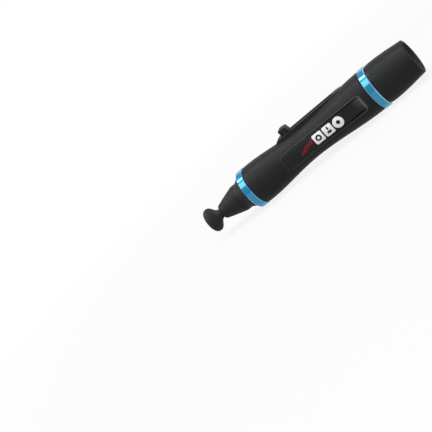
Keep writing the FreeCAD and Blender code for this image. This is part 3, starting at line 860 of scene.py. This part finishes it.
def ink(name, shapes, material):
    """Print: each shape is an outline followed by its holes, laid on the plate's face."""
    sheet = bmesh.new()
    for loops in shapes:
        edges = []
        for loop in loops:
            corners = [sheet.verts.new((s, z, 0)) for s, z in loop]
            edges += [sheet.edges.new(pair) for pair in zip(corners, corners[1:] + corners[:1])]
        bmesh.ops.triangle_fill(sheet, use_beauty=True, use_dissolve=False, edges=edges)
    for normal, (low, high), grid in (((0, 1, 0), INK_HEIGHTS, INK_GRID),
                                      ((1, 0, 0), INK_STATIONS, INK_GRID * 2)):
        for cut in np.arange(low, high, grid):
            bmesh.ops.bisect_plane(sheet, geom=sheet.verts[:] + sheet.edges[:] + sheet.faces[:],
                                   dist=1e-5, plane_co=tuple(cut * n for n in normal),
                                   plane_no=normal)
    low_side = bmesh.ops.extrude_face_region(sheet, geom=sheet.faces[:], use_keep_orig=True)
    under = {item for item in low_side["geom"] if isinstance(item, bmesh.types.BMVert)}
    for vertex in sheet.verts:
        s, z, _ = vertex.co
        radius = plate_radius(s) + INK_LIFT - (INK_THICK if vertex in under else 0)
        vertex.co = (frame_x(s), -math.sqrt(radius ** 2 - z ** 2) * MM, AXIS_Z + z * MM)
    bmesh.ops.recalc_face_normals(sheet, faces=sheet.faces[:])
    mesh = bpy.data.meshes.new(name)
    sheet.to_mesh(mesh)
    sheet.free()
    finish_piece(name, mesh, "barrel", material)


TILE_HALF = 1.95
TILE_CORNER = 0.5
LENS_AT = 55.6               # stations of the middles of the three pictograms
BRUSH_AT = 60.2
DISC_AT = 64.75
BRUSH_TUFT = [(59.15, -1.25), (59.45, -0.2), (60.95, -0.2), (61.25, -1.25), (60.75, -1.05),
              (BRUSH_AT, -1.35), (59.65, -1.05)]
BRUSH_HANDLE = rounded_tile(BRUSH_AT, 0.75, 0.33, 0.65, 0.25)
ink("care_pictograms", [
    [rounded_tile(LENS_AT, 0, 2.05, TILE_HALF, TILE_CORNER), circle(LENS_AT, 0, 1.2)],
    [circle(LENS_AT, 0, 0.55)],
    [rounded_tile(BRUSH_AT, 0, 1.95, TILE_HALF, TILE_CORNER), BRUSH_TUFT, BRUSH_HANDLE],
    [circle(DISC_AT, 0, 2.1, 56), circle(DISC_AT, 0, 0.85, 6, math.pi / 6)],
], WHITE_INK)
STROKE_LENGTHS = (1.7, 1.7, 2.1, 1.7, 1.7, 2.3)
STROKE_WIDTH = 0.44
STROKE_LEAN = math.radians(22)
STROKE_STATIONS = np.linspace(47.3, 52.7, len(STROKE_LENGTHS))
STROKE_HEIGHTS = np.linspace(-0.85, 0.75, len(STROKE_LENGTHS))
ink("wiping_strokes",
    [[stroke(s, z, length, STROKE_WIDTH, STROKE_LEAN)]
     for s, z, length in zip(STROKE_STATIONS, STROKE_HEIGHTS, STROKE_LENGTHS)], RED_INK)


# ---- rounded edges that catch the light: the collar's rear edge and the hood's base ----
BEAD_SIDES = 10
BEAD_SEGMENTS = 144
BEAD_THICK = 0.10            # radius of the bead itself


def edge_bead(name, station, radius):
    """A fine ring round the pen, sunk into the corner that it rounds."""
    rows = []
    for turn in np.arange(BEAD_SEGMENTS) * 2 * math.pi / BEAD_SEGMENTS:
        for angle in np.arange(BEAD_SIDES) * 2 * math.pi / BEAD_SIDES:
            r = radius + BEAD_THICK * math.cos(angle)
            rows.append((frame_x(station + BEAD_THICK * math.sin(angle)),
                         r * MM * math.cos(turn), AXIS_Z + r * MM * math.sin(turn)))
    faces = outward(grid_faces(BEAD_SEGMENTS, BEAD_SIDES, closed_rows=True), rows)
    finish_piece(name, mesh_from(name, rows, faces), "barrel", RIM)


edge_bead("collar_bead", station=17.24, radius=5.42)
edge_bead("hood_base_bead", station=83.06, radius=7.84)


# ---- floor and light ----

def make_floor():
    """A pale floor whose far part is lit evenly, so that it runs into the background.
    The camera sees its own light brighter than the pen does, to keep the pen dark below."""
    mesh = bpy.data.meshes.new("floor")
    half = FLOOR_HALF
    mesh.from_pydata([(-half, -half, 0), (half, -half, 0), (half, half, 0), (-half, half, 0)],
                     [], [(0, 1, 2, 3)])
    floor = bpy.data.objects.new("floor", mesh)
    SCENE.collection.objects.link(floor)
    f = Finish("floor", roughness=0.9, specular=0.05)
    f.set("Base Color", (FLOOR_ALBEDO, FLOOR_ALBEDO, FLOOR_ALBEDO, 1))
    far = f.tree.nodes.new("ShaderNodeVectorMath")
    far.operation = "LENGTH"
    f.feed(far.inputs[0], f.place)
    lit = f.tree.nodes.new("ShaderNodeEmission")
    ray = f.tree.nodes.new("ShaderNodeLightPath")
    f.feed(lit.inputs["Strength"], f.spread(ray.outputs["Is Camera Ray"], 0, 1, FLOOR_FELT, 1))
    mix = f.tree.nodes.new("ShaderNodeMixShader")
    f.feed(mix.inputs[0], f.spread(far.outputs["Value"], FLOOR_NEAR, FLOOR_FAR, FLOOR_GLOW, 1))
    f.feed(mix.inputs[1], f.shader.outputs[0])
    f.feed(mix.inputs[2], lit.outputs[0])
    f.feed(f.tree.nodes["Material Output"].inputs["Surface"], mix.outputs[0])
    mesh.materials.append(f.material)


def softbox(name, lift, half_angle, radiance):
    """A long softbox beside the pen. lift is how many degrees round the pen's axis it
    stands, from level with the label, over the top. half_angle is half the angle that its
    width fills, seen from the pen."""
    angle = math.radians(lift)
    towards = Vector((0, -math.cos(angle), math.sin(angle)))
    data = bpy.data.lights.new(name, "AREA")
    data.shape = "RECTANGLE"
    data.size = SOFTBOX_LENGTH
    data.size_y = 2 * SOFTBOX_AWAY * math.tan(math.radians(half_angle))
    data.energy = radiance * math.pi * data.size * data.size_y
    lamp = bpy.data.objects.new(name, data)
    along = Vector((1, 0, 0))
    turn = Matrix((along, towards.cross(along), towards)).transposed().to_4x4()
    place = Vector((SOFTBOX_MIDDLE, 0, AXIS_Z)) + towards * SOFTBOX_AWAY
    lamp.matrix_world = Matrix.Translation(place) @ turn
    lamp.visible_camera = False
    SCENE.collection.objects.link(lamp)


def end_light(name, place, size, radiance):
    """A softbox off the cleaning tip's end of the pen, which faces the pen."""
    data = bpy.data.lights.new(name, "AREA")
    data.shape = "RECTANGLE"
    data.size, data.size_y = size
    data.energy = radiance * math.pi * data.size * data.size_y
    lamp = bpy.data.objects.new(name, data)
    towards = Vector(place) - Vector((0, 0, AXIS_Z))
    lamp.matrix_world = (Matrix.Translation(place)
                         @ towards.to_track_quat("Z", "Y").to_matrix().to_4x4())
    lamp.visible_camera = False
    SCENE.collection.objects.link(lamp)


def make_world():
    """White where the camera looks past the floor, and dim as a light."""
    world = bpy.data.worlds.new("world")
    world.use_nodes = True
    tree = world.node_tree
    background = tree.nodes["Background"]
    background.inputs["Color"].default_value = (0.92, 0.96, 1.0, 1)
    background.inputs["Strength"].default_value = WORLD_LIGHT
    seen = tree.nodes.new("ShaderNodeBackground")
    seen.inputs["Color"].default_value = (1, 1, 1, 1)
    path = tree.nodes.new("ShaderNodeLightPath")
    mix = tree.nodes.new("ShaderNodeMixShader")
    tree.links.new(path.outputs["Is Camera Ray"], mix.inputs[0])
    tree.links.new(background.outputs[0], mix.inputs[1])
    tree.links.new(seen.outputs[0], mix.inputs[2])
    tree.links.new(mix.outputs[0], tree.nodes["World Output"].inputs["Surface"])
    SCENE.world = world


FLOOR_HALF = 1.5
FLOOR_ALBEDO = 0.45
FLOOR_GLOW = 0.86            # share of the near floor that is lit from within, to soften shadows
FLOOR_FELT = 0.68            # how bright that light is to the pen, next to what the camera sees
FLOOR_NEAR = 0.10            # the evenly lit part starts this far from the pen's middle
FLOOR_FAR = 0.30
WORLD_LIGHT = 0.40
SOFTBOX_LENGTH = 1.4
SOFTBOX_AWAY = 0.7           # from the pen's axis
SOFTBOX_MIDDLE = -0.12       # X of a softbox's middle
make_floor()
make_world()
softbox("overhead", lift=91, half_angle=5, radiance=11.5)
softbox("front_top", lift=59, half_angle=15, radiance=2.7)
softbox("rear", lift=155, half_angle=13, radiance=0.5)
end_light("left_end", place=(-0.75, 0.05, 0.25), size=(0.5, 0.4), radiance=2.0)
SCENE.view_settings.view_transform = "Standard"
